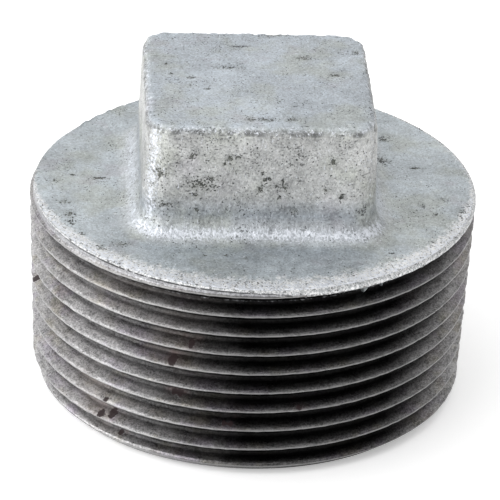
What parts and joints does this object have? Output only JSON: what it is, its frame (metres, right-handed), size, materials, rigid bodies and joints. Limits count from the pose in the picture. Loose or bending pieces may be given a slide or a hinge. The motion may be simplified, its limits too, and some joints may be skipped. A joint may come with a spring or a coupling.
{
  "type": "pipe plug",
  "caption": "Hollow male pipe plug with a square wrench head and a long taper thread, for closing a female threaded port.",
  "frame": {"origin": "centre of the open end face, which the plug stands on", "axes": "+Z along the thread axis from the open end to the square head; the flats of the square face +X, -X, +Y and -Y"},
  "size_m": [0.0482, 0.0482, 0.0351],
  "materials": {
    "cut_thread": "bare cut thread, satin, with light rust spots",
    "galvanised_casting": "hot-dip galvanised as-cast skin, mottled and pitted"
  },
  "bodies": {
    "root": {"threaded_skirt": "cut_thread", "crown_plate": "galvanised_casting", "square_head": "galvanised_casting"}
  },
  "joints": []
}
